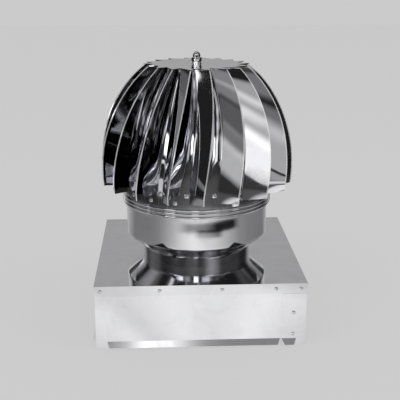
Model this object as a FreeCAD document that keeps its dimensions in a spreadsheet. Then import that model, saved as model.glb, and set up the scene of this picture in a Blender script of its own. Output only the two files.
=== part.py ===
"""Rotating chimney cowl: a louvred turbine head on a collar and neck over a square base.

Millimetres, +Z up. The origin is the centre of the base's underside, and the front face looks along -Y.
Angles round the axis count from the front towards +X.
"""
import FreeCAD, Part
import Sketcher
import math
import os

Vector = FreeCAD.Vector
doc = FreeCAD.newDocument("ChimneyCowl")
sheet = doc.addObject("Spreadsheet::Sheet", "Sizes")

SIZES = [
    # square base
    ("base_width", 300), ("base_height", 95), ("sheet_wall", 0.8), ("flange_drop", 15),
    ("lap_width", 35), ("lap_top_gap", 0.3), ("lip_fold", 10.5), ("lip_width", 10),
    ("lip_start", 16.5), ("lip_end", 14), ("lip_slit", 2), ("lip_mitre", 4),
    # neck and collar, heights above the plate
    ("neck_radius", 83), ("neck_rise", 55), ("neck_lip", 6),
    ("collar_radius", 108), ("collar_foot", 13), ("collar_grip", 2), ("collar_taper", 20),
    ("collar_rise", 98),
    # beaded ring of the head
    ("ring_radius", 111), ("ring_foot", 81), ("ring_rise", 124), ("bead_radius", 2), ("bead_pitch", 5.2),
    ("bead_edge", 4.5), ("band_foot", 97), ("band_width", 18), ("lower_row", 106), ("upper_row", 118),
    # blades, on the shape of an ellipsoid
    ("blade_count", 18), ("blade_start", 1.4), ("blade_wall", 0.8), ("blade_foot", 112),
    ("girth_radius", 145), ("girth_rise", 138), ("dome_rise", 177), ("blade_twist", 10),
    ("flare_offset", 20), ("slot_gap", 10), ("slot_rise", 60), ("blade_lap", 5), ("lap_clearance", 0.15),
    ("tab_length", 12), ("tab_angle", 9), ("flare_drop", 6), ("flare_slit", 0.5),
    # top disc, hub and nut
    ("disc_rise", 289), ("disc_wall", 0.8), ("disc_overhang", 1.5), ("hub_radius", 28), ("hub_flange", 3),
    ("hub_neck", 12), ("hub_height", 11), ("washer_radius", 8), ("washer_wall", 1.2),
    ("spring_radius", 7), ("spring_wall", 1.5),
    ("nut_flats", 13), ("nut_height", 6.5), ("nut_dome", 5.5), ("nut_total", 15.3),
    ("nut_bore_depth", 10), ("nut_end_gap", 1),
    # shaft and bearings
    ("shaft_radius", 6), ("shoulder_radius", 8), ("thread_radius", 4), ("thread_clearance", 0.05),
    ("shaft_stub", 3), ("bearing_radius", 16), ("bearing_width", 10), ("ball_radius", 2.9),
    ("ball_circle", 11), ("ball_count", 7), ("ball_play", 0.05), ("race_gap", 3.6), ("clip_wall", 1.2),
    ("clip_groove", 0.8), ("clip_reach", 3),
    # bearing housing and its cross bracket
    ("housing_wall", 4), ("housing_waist", 2.5), ("housing_rise", 215), ("housing_flange", 36),
    ("flange_wall", 4), ("bolt_circle", 28), ("bolt_radius", 2.5), ("bolt_clearance", 0.2),
    ("bolt_flats", 8), ("bolt_head", 3.5), ("bolt_nut", 4), ("bolt_end", 1.5), ("bolt_count", 4),
    ("cross_rise", 80), ("cross_wall", 3), ("arm_width", 25), ("arm_tab", 18), ("arm_gap", 0.05),
    ("tab_rivet_drop", 7),
    ("cross_bore", 12),
    # rivets
    ("rivet_radius", 2), ("rivet_head", 3.5), ("rivet_dome", 1.3), ("rivet_tail", 2.8), ("tail_length", 1.6),
    ("small_rivet", 1.6), ("small_head", 3.1), ("small_dome", 1), ("small_tail", 2.3), ("rivet_play", 0.05),
    ("seat_gap", 0.08),
    ("flange_row", 8), ("left_corner_rivet", 8.5), ("left_middle_rivet", 58.5), ("right_middle_rivet", 29),
    ("before_lap_rivet", 45), ("right_corner_rivet", 9.5), ("lap_rivet", 19), ("lap_rivet_high", 50.5),
    ("lap_rivet_low", 17.5),
]

for row, (alias, value) in enumerate(SIZES, start=1):
    sheet.set("A%d" % row, alias)
    sheet.set("B%d" % row, str(value))
    sheet.setAlias("B%d" % row, alias)
doc.recompute()


def size(expression):
    """The value of an expression in the sheet's aliases."""
    value = sheet.evalExpression(expression)
    return float(getattr(value, "Value", value))


def bound(expression):
    """The same expression with every alias read from the sheet."""
    words, word = [], ""
    for letter in expression + " ":
        if letter.isalnum() or letter == "_":
            word += letter
            continue
        words.append("Sizes." + word if word in ALIASES else word)
        words.append(letter)
        word = ""
    return "".join(words).strip()


ALIASES = {alias for alias, _ in SIZES}
PARTS = []
HOLE_REACH = 30.0
MANDREL_SHARE = 0.45
RECESS_SHARE = 0.65


def keep(item, label):
    """Marks an object as one of the sub-parts, under the name of its file."""
    item.Label = label
    PARTS.append(item)
    return item


# Part primitives bound to the sheet

def primitive(kind, name, base_z="0", **sizes):
    item = doc.addObject("Part::" + kind, name)
    for key, expression in sizes.items():
        item.setExpression(key, bound(expression))
    item.setExpression("Placement.Base.z", bound(base_z))
    return item


def cylinder(name, radius, height, base_z):
    return primitive("Cylinder", name, base_z, Radius=radius, Height=height)


def fuse(name, pieces):
    item = doc.addObject("Part::MultiFuse", name)
    item.Shapes = pieces
    return item


def cut(name, base, tool):
    item = doc.addObject("Part::Cut", name)
    item.Base = base
    item.Tool = tool
    return item


def tube(name, outer, inner, height, base_z):
    return cut(name, cylinder(name + "_outside", outer, height, base_z),
               cylinder(name + "_inside", inner, height, base_z))


# PartDesign bodies bound to the sheet

def plane_of(body, role):
    """The plane or axis of a body's origin that has this role."""
    return next(item for item in body.Origin.OriginFeatures if item.Role == role)


def new_sketch(body, role, name, height=None):
    sketch = body.newObject("Sketcher::SketchObject", name)
    sketch.AttachmentSupport = [(plane_of(body, role), "")]
    sketch.MapMode = "FlatFace"
    if height is not None:
        sketch.setExpression("AttachmentOffset.Base.z", bound(height))
    return sketch


def pin_point(sketch, geometry, which, x, y):
    """Holds one point of a sketch at a place given by two expressions."""
    for kind, axis, expression in (("DistanceX", -2, x), ("DistanceY", -1, y)):
        value = size(expression)
        if abs(value) < 1e-9:
            sketch.addConstraint(Sketcher.Constraint("PointOnObject", geometry, which, axis))
            continue
        place = sketch.addConstraint(Sketcher.Constraint(kind, -1, 1, geometry, which, value))
        sketch.setExpression("Constraints[%d]" % place, bound(expression))


def polygon(sketch, corners):
    """A closed outline whose corners are pairs of expressions."""
    places = [Vector(size(x), size(y), 0) for x, y in corners]
    count = len(corners)
    first = len(sketch.Geometry)
    for turn in range(count):
        sketch.addGeometry(Part.LineSegment(places[turn], places[(turn + 1) % count]))
    for turn in range(count):
        after = first + (turn + 1) % count
        sketch.addConstraint(Sketcher.Constraint("Coincident", first + turn, 2, after, 1))
    for turn, (x, y) in enumerate(corners):
        pin_point(sketch, first + turn, 1, x, y)


def circle(sketch, x, y, radius):
    index = sketch.addGeometry(Part.Circle(Vector(size(x), size(y), 0), Vector(0, 0, 1), size(radius)))
    pin_point(sketch, index, 3, x, y)
    place = sketch.addConstraint(Sketcher.Constraint("Radius", index, size(radius)))
    sketch.setExpression("Constraints[%d]" % place, bound(radius))


def pad(body, sketch, length):
    feature = body.newObject("PartDesign::Pad", sketch.Name + "_pad")
    feature.Profile = sketch
    feature.setExpression("Length", bound(length))
    return feature


def turned(name, corners):
    """A body of revolution about the axis from its half section (radius, height)."""
    body = doc.addObject("PartDesign::Body", name)
    sketch = new_sketch(body, "XZ_Plane", name + "_section")
    polygon(sketch, corners)
    revolution = body.newObject("PartDesign::Revolution", name + "_turning")
    revolution.Profile = sketch
    revolution.ReferenceAxis = (sketch, ["V_Axis"])
    revolution.Angle = 360
    return body


def repeat_round(body, feature, count):
    """The feature repeated evenly round the axis."""
    pattern = body.newObject("PartDesign::PolarPattern", feature.Name + "_round")
    pattern.Originals = [feature]
    pattern.Axis = (plane_of(body, "Z_Axis"), [""])
    pattern.Angle = 360
    pattern.setExpression("Occurrences", bound(count))
    body.Tip = pattern


# Round places and fasteners made with Part's own functions

def radial(angle, radius, height):
    """The point at an angle from the front, a radius and a height."""
    turn = math.radians(angle)
    return Vector(radius * math.sin(turn), -radius * math.cos(turn), height)


def through_hole(radius):
    """A drill along Z, long enough for every stack of sheets and flanges."""
    return Part.makeCylinder(radius, HOLE_REACH, Vector(0, 0, -HOLE_REACH / 2))


def prism(corners, way):
    """The closed outline through the corners, pushed along a vector."""
    return Part.Face(Part.makePolygon(corners + corners[:1])).extrude(way)


def hexagon(flats, height, foot):
    corners = [Vector(flats / math.sqrt(3), 0, foot)]
    turn = FreeCAD.Rotation(Vector(0, 0, 1), 60)
    while len(corners) < 6:
        corners.append(turn.multVec(corners[-1]))
    return prism(corners, Vector(0, 0, height))


def rivet(shank, head, dome, tail, grip, tail_length):
    """A blind rivet along +Z: its head stands above z = 0 and it holds grip below."""
    cap_radius = (head ** 2 + dome ** 2) / (2 * dome)
    cap = Part.makeSphere(cap_radius, Vector(0, 0, dome - cap_radius))
    cap = cap.common(Part.makeCylinder(head, dome, Vector(0, 0, 0)))
    core = Part.makeCylinder(shank, grip + dome / 2, Vector(0, 0, -grip))
    bulb = Part.makeCylinder(tail, tail_length, Vector(0, 0, -grip - tail_length))
    mandrel_hole = Part.makeCylinder(shank * MANDREL_SHARE, dome, Vector(0, 0, dome * (1 - RECESS_SHARE)))
    return cap.fuse([core, bulb]).cut(mandrel_hole).removeSplitter()


def aimed(shape, place, outward):
    """A copy of a shape made along +Z, moved to a place and turned to face outward."""
    copy = shape.copy()
    copy.Placement = FreeCAD.Placement(place, FreeCAD.Rotation(Vector(0, 0, 1), outward))
    return copy


def group(label, shapes):
    item = doc.addObject("Part::Feature", label)
    item.Shape = Part.makeCompound(shapes)
    return keep(item, label)


def drilled(label, base, holes):
    """A sub-part cut from a base by a group of holes."""
    tool = doc.addObject("Part::Feature", label + "_holes")
    tool.Shape = Part.makeCompound(holes)
    return keep(cut(label + "_drilled", base, tool), label)


ARMS = 4
PLATE = size("base_height")
WALL = size("sheet_wall")
HALF = size("base_width / 2")


def above(expression):
    """A height that is given above the plate's top."""
    return "base_height + " + expression


# Square base

def flange_rivet_places():
    """Places and directions of the rivets round the flange, the same on each side."""
    row = (size("left_corner_rivet") - HALF, -size("left_middle_rivet"), size("right_middle_rivet"),
           HALF - size("before_lap_rivet"), HALF - size("right_corner_rivet"))
    height = size("base_height - flange_row")
    for side in range(4):
        turn = FreeCAD.Rotation(Vector(0, 0, 1), 90 * side)
        for along in row:
            yield turn.multVec(Vector(along, -HALF, height)), turn.multVec(Vector(0, -1, 0))


def lap_rivet_places():
    for side in range(2):
        turn = FreeCAD.Rotation(Vector(0, 0, 1), 180 * side)
        for name in ("lap_rivet_high", "lap_rivet_low"):
            place = Vector(HALF - size("lap_rivet"), -HALF, size(name))
            yield turn.multVec(place), turn.multVec(Vector(0, -1, 0))


def small_holes(places):
    drill = through_hole(size("small_rivet + rivet_play"))
    return [aimed(drill, place, outward) for place, outward in places]


def make_plate():
    body = doc.addObject("PartDesign::Body", "plate_sheet")
    top = new_sketch(body, "XY_Plane", "plate_outline", "base_height - sheet_wall")
    half = "base_width / 2"
    polygon(top, [("-" + half, "-" + half), (half, "-" + half), (half, half), ("-" + half, half)])
    circle(top, "0", "0", "neck_radius")
    pad(body, top, "sheet_wall")
    rim = new_sketch(body, "XY_Plane", "flange_outline", "base_height - flange_drop")
    for reach in (half, "(base_width / 2 - sheet_wall)"):
        back = "-" + reach
        polygon(rim, [(back, back), (reach, back), (reach, reach), (back, reach)])
    pad(body, rim, "flange_drop")
    drilled("top_plate", body, small_holes(flange_rivet_places()))


def make_skirts():
    """Two equal L-shaped sheets: a front wall, a left wall and a lap round the corner behind it."""
    body = doc.addObject("PartDesign::Body", "skirt_sheet")
    reach = "(base_width / 2 - sheet_wall)"
    inner = "(base_width / 2 - 2 * sheet_wall)"
    walls = new_sketch(body, "XY_Plane", "skirt_plan")
    polygon(walls, [("-" + reach, "-" + reach), (inner, "-" + reach), (inner, "-" + inner),
                    ("-" + inner, "-" + inner), ("-" + inner, reach), ("-" + reach, reach)])
    pad(body, walls, "base_height - sheet_wall")
    lap = new_sketch(body, "XY_Plane", "lap_plan")
    polygon(lap, [("-" + reach, reach), ("-base_width / 2 + lap_width", reach),
                  ("-base_width / 2 + lap_width", "base_width / 2"), ("-" + reach, "base_width / 2")])
    pad(body, lap, "base_height - flange_drop - lap_top_gap")
    doc.recompute()
    lip_length = size("lip_width")
    fold = size("lip_fold")
    starts = {"front": (size("-base_width / 2 + lip_start"), size("base_width / 2 - lap_width - lip_slit")),
              "left": (size("-base_width / 2 + lip_end"), size("base_width / 2 - lip_start")),
              "lap": (size("base_width / 2 - lap_width"), size("base_width / 2 - lip_end"))}
    shape = body.Shape.copy()
    for side, (start, end) in starts.items():
        turn = {"front": 0, "left": -90, "lap": 180}[side]
        face = HALF if side == "lap" else HALF - WALL
        slot = Part.makeBox(end - start, WALL, fold, Vector(start, -face, 0))
        lip = lip_sheet(start, end, face, fold, lip_length)
        for piece, adding in ((slot, False), (lip, True)):
            piece.rotate(Vector(0, 0, 0), Vector(0, 0, 1), turn)
            shape = shape.fuse(piece) if adding else shape.cut(piece)
        if side == "front":
            # under the lap the wall is cut away too, so that the lap's own lip can be folded out
            clear = Part.makeBox(size("lap_width - lip_end + lip_slit"), WALL, fold, Vector(end, -face, 0))
            shape = shape.cut(clear)
    shape = shape.removeSplitter()
    holes = small_holes(list(flange_rivet_places()) + list(lap_rivet_places()))
    shape = shape.cut(Part.makeCompound(holes))
    for label, turn in (("skirt_front_left", 0), ("skirt_back_right", 180)):
        item = doc.addObject("Part::Feature", label)
        item.Shape = shape
        item.Placement = FreeCAD.Placement(Vector(0, 0, 0), FreeCAD.Rotation(Vector(0, 0, 1), turn))
        keep(item, label)


def lip_sheet(start, end, face, fold, width):
    """A drip lip folded out at 45 degrees below the front wall, with its free edge mitred."""
    mitre = size("lip_mitre")
    slant = math.sqrt(0.5)
    out = Vector(0, -slant, -slant)
    normal = Vector(0, slant, -slant)
    hinge_start = Vector(start, -face, fold)
    hinge_end = Vector(end, -face, fold)
    corners = [hinge_start, hinge_end, hinge_end + out * width + Vector(-mitre, 0, 0),
               hinge_start + out * width + Vector(mitre, 0, 0)]
    lip = prism(corners, normal * WALL)
    bend = Part.makeCylinder(WALL, end - start, Vector(start, -face + WALL, fold), Vector(1, 0, 0))
    wedge = bend.common(Part.makeBox(end - start, WALL, WALL, Vector(start, -face, fold - WALL)))
    return lip.fuse(wedge)


def make_base_rivets():
    grip = size("2 * sheet_wall")
    one = rivet(size("small_rivet"), size("small_head"), size("small_dome"), size("small_tail"),
                grip, size("tail_length"))
    group("plate_rivets", [aimed(one, *place) for place in flange_rivet_places()])
    group("seam_rivets", [aimed(one, *place) for place in lap_rivet_places()])


# Neck and collar

def make_neck():
    bore = "neck_radius - sheet_wall"
    under = "base_height - 2 * sheet_wall"
    keep(turned("neck_turned", [
        (bore, under), ("neck_radius + neck_lip", under),
        ("neck_radius + neck_lip", "base_height - sheet_wall"),
        ("neck_radius", "base_height - sheet_wall"), ("neck_radius", above("neck_rise")),
        (bore, above("neck_rise"))]), "neck_pipe")


def make_collar():
    inner = "collar_radius - sheet_wall"
    body = turned("collar_turned", [
        ("neck_radius", above("collar_foot")), ("neck_radius + sheet_wall", above("collar_foot")),
        ("neck_radius + sheet_wall", above("collar_foot + collar_grip")),
        ("collar_radius", above("collar_foot + collar_grip + collar_taper")),
        ("collar_radius", above("collar_rise")), (inner, above("collar_rise")),
        (inner, above("collar_foot + collar_grip + collar_taper + sheet_wall / 2")),
        ("neck_radius", above("collar_foot + collar_grip + sheet_wall / 2"))])
    drilled("neck_collar", body, bracket_rivet_holes())


def bracket_rivet_places():
    height = size(above("cross_rise + arm_tab - tab_rivet_drop"))
    for turn in range(ARMS):
        angle = 360 / ARMS * turn
        yield radial(angle, size("collar_radius"), height), radial(angle, 1, 0)


def bracket_rivet_holes():
    drill = through_hole(size("rivet_radius + rivet_play"))
    return [aimed(drill, *place) for place in bracket_rivet_places()]


# Beaded ring of the head

def ring_holes(row, radius, offset=0.0):
    height = PLATE + size(row)
    drill = through_hole(size("rivet_radius + rivet_play"))
    return [aimed(drill, radial(angle + offset, radius, height), radial(angle + offset, 1, 0))
            for angle in blade_angles()]


def make_ring():
    wall = "sheet_wall"
    band = cylinder("ring_band", "ring_radius", "ring_rise - ring_foot", above("ring_foot"))
    beads = [band]
    grooves = [cylinder("ring_bore", "ring_radius - " + wall, "ring_rise", above("ring_foot / 2"))]
    for turn in range(3):
        height = above("ring_foot + bead_edge + %d * bead_pitch" % turn)
        beads.append(primitive("Torus", "bead_%d" % turn, height,
                               Radius1="ring_radius", Radius2="bead_radius"))
        grooves.append(primitive("Torus", "groove_%d" % turn, height, Radius1="ring_radius",
                                 Radius2="bead_radius - " + wall))
    blank = cut("ring_blank", fuse("ring_outside", beads), fuse("ring_inside", grooves))
    radius = size("ring_radius")
    holes = ring_holes("lower_row", radius) + ring_holes("upper_row", radius, upper_rivet_offset())
    drilled("rotor_ring", blank, holes)
    strip = tube("band_blank", "ring_radius - sheet_wall", "ring_radius - 2 * sheet_wall",
                 "band_width", above("band_foot"))
    drilled("ring_stiffener", strip, ring_holes("lower_row", radius))


# Blades

MAIN_STEPS = 5
DOME_STEPS = 5
SLOT_SHARES = (0, 0.12, 0.25, 0.5, 0.75)


def blade_angles():
    count = int(size("blade_count"))
    return [size("blade_start") + 360.0 * turn / count for turn in range(count)]


def dome_share(height):
    """How far the ellipsoid reaches at a height, as a share of its girth."""
    offset = (height - PLATE - size("girth_rise")) / size("dome_rise")
    return math.sqrt(1 - offset ** 2)


def crease_radius(height):
    """Radius of the crease: upright over the ring, where it clears two sheets, and domed above the girth."""
    seat = size("ring_radius + 2 * blade_wall + 2 * lap_clearance")
    return seat * dome_share(max(height, PLATE + size("girth_rise")))


def slot_depth(height):
    """Radial step from the crease to the next blade's hidden edge: none at the ring, then a slot."""
    share = (height - PLATE - size("ring_rise")) / size("slot_rise")
    share = min(1.0, max(0.0, share))
    return size("blade_wall + lap_clearance") + size("slot_gap") * share ** 2 * (3 - 2 * share)


def crease_turn(height):
    """Angle from a blade's crease to its free edge, which lies ahead of it."""
    middle = (size("girth_radius") * dome_share(height) + crease_radius(height)) / 2
    return math.degrees(size("flare_offset") / middle)


def main_radius(height, share):
    """Outer face of the blade behind its crease, by the share of the blade pitch.

    It steps inwards between the two laps, so that its end passes inside the crease of the blade behind it.
    """
    lap = size("blade_lap * blade_count / 360")
    drop = min(1.0, max(0.0, (share - lap) / (1 - lap)))
    return crease_radius(height) - slot_depth(height) * drop


def upper_rivet_room():
    """Angle from a blade's crease back to its rivet."""
    return math.degrees(size("rivet_head + blade_wall") / crease_radius(PLATE + size("upper_row")))


def upper_rivet_offset():
    """Angle from a blade's place in the ring to its rivet."""
    height = PLATE + size("upper_row")
    return free_edge_turn(height) - crease_turn(height) - upper_rivet_room()


def free_edge_turn(height):
    """How far the blade has leaned round the axis at a height: it starts above the ring."""
    foot = PLATE + size("ring_rise")
    top = size("base_height + disc_rise - disc_wall")
    return size("blade_twist") * max(0.0, height - foot) / (top - foot)


def blade_section(height):
    """Closed section of one blade at a height: the main sheet up to the crease, then the flare."""
    pitch = 360.0 / size("blade_count")
    free = free_edge_turn(height)
    crease = free - crease_turn(height)
    span = pitch + size("blade_lap")
    outline = []
    for step in range(MAIN_STEPS, -1, -1):
        turn = span * step / MAIN_STEPS
        outline.append(radial(crease - turn, main_radius(height, turn / pitch), height))
    outline.append(radial(free, size("girth_radius") * dome_share(height), height))
    inside = offset_inwards(outline, size("blade_wall"))
    main_out = Part.BSplineCurve()
    main_out.interpolate(outline[:-1])
    main_in = Part.BSplineCurve()
    main_in.interpolate(inside[-2::-1])
    edges = [main_out.toShape(), Part.makeLine(outline[-2], outline[-1]),
             Part.makeLine(outline[-1], inside[-1]), Part.makeLine(inside[-1], inside[-2]),
             main_in.toShape(), Part.makeLine(inside[0], outline[0])]
    return Part.Wire(edges)


def offset_inwards(outline, wall):
    """The same open outline moved by a wall to its inner side, mitred at its corners."""
    ways = [(b - a).normalize() for a, b in zip(outline, outline[1:])]
    inside = []
    for index, point in enumerate(outline):
        before = ways[max(0, index - 1)]
        after = ways[min(len(ways) - 1, index)]
        normal_before = Vector(-before.y, before.x, 0)
        normal_after = Vector(-after.y, after.x, 0)
        middle = (normal_before + normal_after).normalize()
        inside.append(point + middle * (wall / middle.dot(normal_after)))
    return inside


def foot_waste():
    """What is cut off below a blade: the main sheet ends level, the flare runs down to its crease."""
    foot = PLATE + size("blade_foot")
    deep = foot - 2 * size("flare_drop")
    crease = radial(-crease_turn(foot), crease_radius(foot), 0)
    free = radial(0, size("girth_radius") * dome_share(foot), 0)
    along = (free - crease).normalize()
    reach = (free - crease).Length
    across = Vector(-along.y, along.x, 0) * size("girth_radius")
    slit = -size("flare_slit")
    outline = [(-reach - size("girth_radius"), deep), (-reach - size("girth_radius"), foot), (slit, foot),
               (slit, foot - size("flare_drop")), (reach, foot), (2 * reach, foot), (2 * reach, deep)]
    corners = [crease - across + along * place + Vector(0, 0, height) for place, height in outline]
    return prism(corners, across * 2)


def top_tab():
    """The tab folded inwards from the top of the main sheet, to lie under the disc."""
    top = size("base_height + disc_rise - disc_wall")
    half_pitch = 180.0 / size("blade_count")
    middle = free_edge_turn(top) - crease_turn(top) - half_pitch
    edge = main_radius(top, 0.5) - size("blade_wall / 2")
    half = size("tab_angle") / 2
    corners = [radial(middle - half, edge, top), radial(middle + half, edge, top),
               radial(middle + half, edge - size("tab_length"), top),
               radial(middle - half, edge - size("tab_length"), top)]
    return prism(corners, Vector(0, 0, -size("blade_wall")))


def blade_shape():
    """The blade at the front: a loft of bent sections, its top tab and its two rivet holes."""
    foot = PLATE + size("blade_foot - flare_drop")
    ring = PLATE + size("ring_rise")
    open_slot = ring + size("slot_rise")
    top = size("base_height + disc_rise - disc_wall")
    heights = [ring + (open_slot - ring) * share for share in SLOT_SHARES]
    heights += [open_slot + (top - open_slot) * math.sin(math.pi / 2 * step / DOME_STEPS)
                for step in range(DOME_STEPS + 1)]
    upright = Part.makeLoft([blade_section(foot), blade_section(ring)], True, True)
    domed = Part.makeLoft([blade_section(height) for height in heights], True, False)
    body = upright.cut(foot_waste()).fuse([domed, top_tab()])
    drill = through_hole(size("rivet_radius + rivet_play"))
    height = PLATE + size("upper_row")
    for turn in (upper_rivet_offset(), upper_rivet_offset() - 360.0 / size("blade_count")):
        body = body.cut(aimed(drill, radial(turn, size("ring_radius"), height), radial(turn, 1, 0)))
    return body


def make_blades():
    master = blade_shape()
    if master.ShapeType == "Compound":
        master = master.Solids[0]
    for index, angle in enumerate(blade_angles(), start=1):
        item = doc.addObject("Part::Feature", "blade_%02d" % index)
        item.Shape = master
        item.Placement = FreeCAD.Placement(Vector(0, 0, 0), FreeCAD.Rotation(Vector(0, 0, 1), angle))
        keep(item, "blade_%02d" % index)


def make_ring_rivets():
    one = [size(name) for name in ("rivet_radius", "rivet_head", "rivet_dome", "rivet_tail")]
    lower = rivet(*one, size("2 * sheet_wall + seat_gap"), size("tail_length"))
    radius = size("ring_radius")
    height = PLATE + size("lower_row")
    group("ring_rivets_lower", [aimed(lower, radial(angle, radius, height), radial(angle, 1, 0))
                                for angle in blade_angles()])
    height = PLATE + size("upper_row")
    offset = upper_rivet_offset()
    share = upper_rivet_room() * size("blade_count") / 360
    face = main_radius(height, share) + size("seat_gap")
    upper = rivet(*one, face - size("ring_radius - sheet_wall - seat_gap"), size("tail_length"))
    group("ring_rivets_upper", [aimed(upper, radial(angle + offset, face, height),
                                      radial(angle + offset, 1, 0))
                                for angle in blade_angles()])


# Top disc, hub and nut

def make_disc():
    """A toothed disc: each tooth lies over the top edge of one blade's flare."""
    top = size("base_height + disc_rise - disc_wall")
    overhang = size("disc_overhang")
    corners = []
    for angle in blade_angles():
        free = angle + free_edge_turn(top)
        corners.append(radial(free - crease_turn(top), crease_radius(top) + overhang, top))
        corners.append(radial(free, size("girth_radius") * dome_share(top) + overhang, top))
    bore = through_hole(size("thread_radius + thread_clearance")).translated(Vector(0, 0, top))
    item = doc.addObject("Part::Feature", "top_disc")
    item.Shape = prism(corners, Vector(0, 0, size("disc_wall"))).cut(bore)
    keep(item, "top_disc")


def make_hub():
    bore = "thread_radius + thread_clearance"
    top = above("disc_rise - disc_wall")
    keep(turned("hub_turned", [
        (bore, top + " - hub_height"), ("hub_neck", top + " - hub_height"),
        ("hub_neck", top + " - hub_flange"),
        ("hub_radius", top + " - hub_flange"), ("hub_radius", top), (bore, top)]), "hub")
    seat = above("disc_rise")
    keep(tube("washer_blank", "washer_radius", bore, "washer_wall", seat), "top_washer")
    keep(tube("spring_blank", "spring_radius", bore, "spring_wall", seat + " + washer_wall"),
         "spring_washer")
    foot = seat + " + washer_wall + spring_wall"
    crown_blank = primitive("Prism", "nut_hexagon", foot, Circumradius="nut_flats / sqrt(3)",
                            Height="nut_height")
    crown_blank.Polygon = 6
    chamfer = primitive("Cone", "nut_chamfer", foot, Radius1="nut_flats / 2 + nut_height",
                        Radius2="nut_flats / 2", Height="nut_height")
    crown = doc.addObject("Part::MultiCommon", "nut_crown")
    crown.Shapes = [crown_blank, chamfer]
    stem = cylinder("nut_stem", "nut_dome", "nut_total - nut_dome", foot)
    dome = primitive("Sphere", "nut_ball", foot + " + nut_total - nut_dome", Radius="nut_dome")
    bore_hole = cylinder("nut_bore", bore, "nut_bore_depth", foot)
    keep(cut("nut_blank", fuse("nut_outside", [crown, stem, dome]), bore_hole), "acorn_nut")


# Shaft and bearings

HOUSING_FOOT = above("cross_rise + cross_wall")
HOUSING_TOP = above("housing_rise")
LOWER_SEAT = HOUSING_FOOT
UPPER_SEAT = HOUSING_TOP + " - bearing_width - 2 * clip_wall"


def make_shaft():
    top = above("disc_rise - disc_wall")
    shoulder = UPPER_SEAT + " + bearing_width"
    groove = "shaft_radius - clip_groove"
    clip_top = LOWER_SEAT
    clip_foot = clip_top + " - clip_wall"
    thread_end = above("disc_rise + washer_wall + spring_wall + nut_bore_depth - nut_end_gap")
    keep(turned("shaft_turned", [
        ("0", clip_foot + " - shaft_stub"), ("shaft_radius", clip_foot + " - shaft_stub"),
        ("shaft_radius", clip_foot), (groove, clip_foot), (groove, clip_top), ("shaft_radius", clip_top),
        ("shaft_radius", shoulder), ("shoulder_radius", shoulder),
        ("shoulder_radius", top + " - hub_height"), ("thread_radius", top + " - hub_height"),
        ("thread_radius", thread_end), ("0", thread_end)]), "rotor_shaft")
    keep(tube("shaft_clip_blank", "shaft_radius + clip_reach", groove, "clip_wall", clip_foot),
         "shaft_circlip")
    keep(tube("spacer_blank", "shoulder_radius", "shaft_radius",
              "housing_rise - 2 * clip_wall - 2 * bearing_width - cross_rise - cross_wall",
              LOWER_SEAT + " + bearing_width"), "bearing_spacer")


def make_bearing(name, seat):
    middle = seat + " + bearing_width / 2"
    rings = (("outer_ring", "bearing_radius", "ball_circle + race_gap / 2"),
             ("inner_ring", "ball_circle - race_gap / 2", "shaft_radius"))
    for which, outer, inner in rings:
        label = "%s_bearing_%s" % (name, which)
        blank = tube(label + "_blank", outer, inner, "bearing_width", seat)
        race = primitive("Torus", label + "_race", middle, Radius1="ball_circle",
                         Radius2="ball_radius + ball_play")
        keep(cut(label + "_cut", blank, race), label)
    count = int(size("ball_count"))
    balls = [Part.makeSphere(size("ball_radius"),
                             radial(360 * turn / count, size("ball_circle"), size(middle)))
             for turn in range(count)]
    group("%s_bearing_balls" % name, balls)


def make_housing():
    inner = "bearing_radius"
    waist = "bearing_radius - housing_waist"
    outer = "bearing_radius + housing_wall"
    flange = HOUSING_FOOT + " + flange_wall"
    body = turned("bearing_housing_turned", [
        (inner, HOUSING_FOOT), ("housing_flange", HOUSING_FOOT), ("housing_flange", flange), (outer, flange),
        (outer, HOUSING_TOP), (inner, HOUSING_TOP), (inner, UPPER_SEAT), (waist, UPPER_SEAT),
        (waist, LOWER_SEAT + " + bearing_width"), (inner, LOWER_SEAT + " + bearing_width")])
    drilled("bearing_housing", body, bolt_holes())
    keep(tube("housing_clip_blank", "bearing_radius", "bearing_radius - clip_reach", "clip_wall",
              UPPER_SEAT + " + bearing_width"), "housing_circlip")


def bolt_places():
    count = int(size("bolt_count"))
    for turn in range(count):
        yield radial(360 * turn / count, size("bolt_circle"), size(HOUSING_FOOT))


def bolt_holes():
    drill = through_hole(size("bolt_radius + bolt_clearance"))
    return [drill.translated(place) for place in bolt_places()]


def make_bolts():
    flats = size("bolt_flats")
    shank_top = size("flange_wall")
    shank_foot = -size("cross_wall + bolt_nut + bolt_end")
    shank = Part.makeCylinder(size("bolt_radius"), shank_top - shank_foot, Vector(0, 0, shank_foot))
    bolt = hexagon(flats, size("bolt_head"), shank_top).fuse(shank)
    nut = hexagon(flats, -size("bolt_nut"), -size("cross_wall"))
    nut = nut.cut(through_hole(size("bolt_radius + thread_clearance")))
    group("housing_bolts", [bolt.translated(place) for place in bolt_places()])
    group("housing_nuts", [nut.translated(place) for place in bolt_places()])


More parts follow.
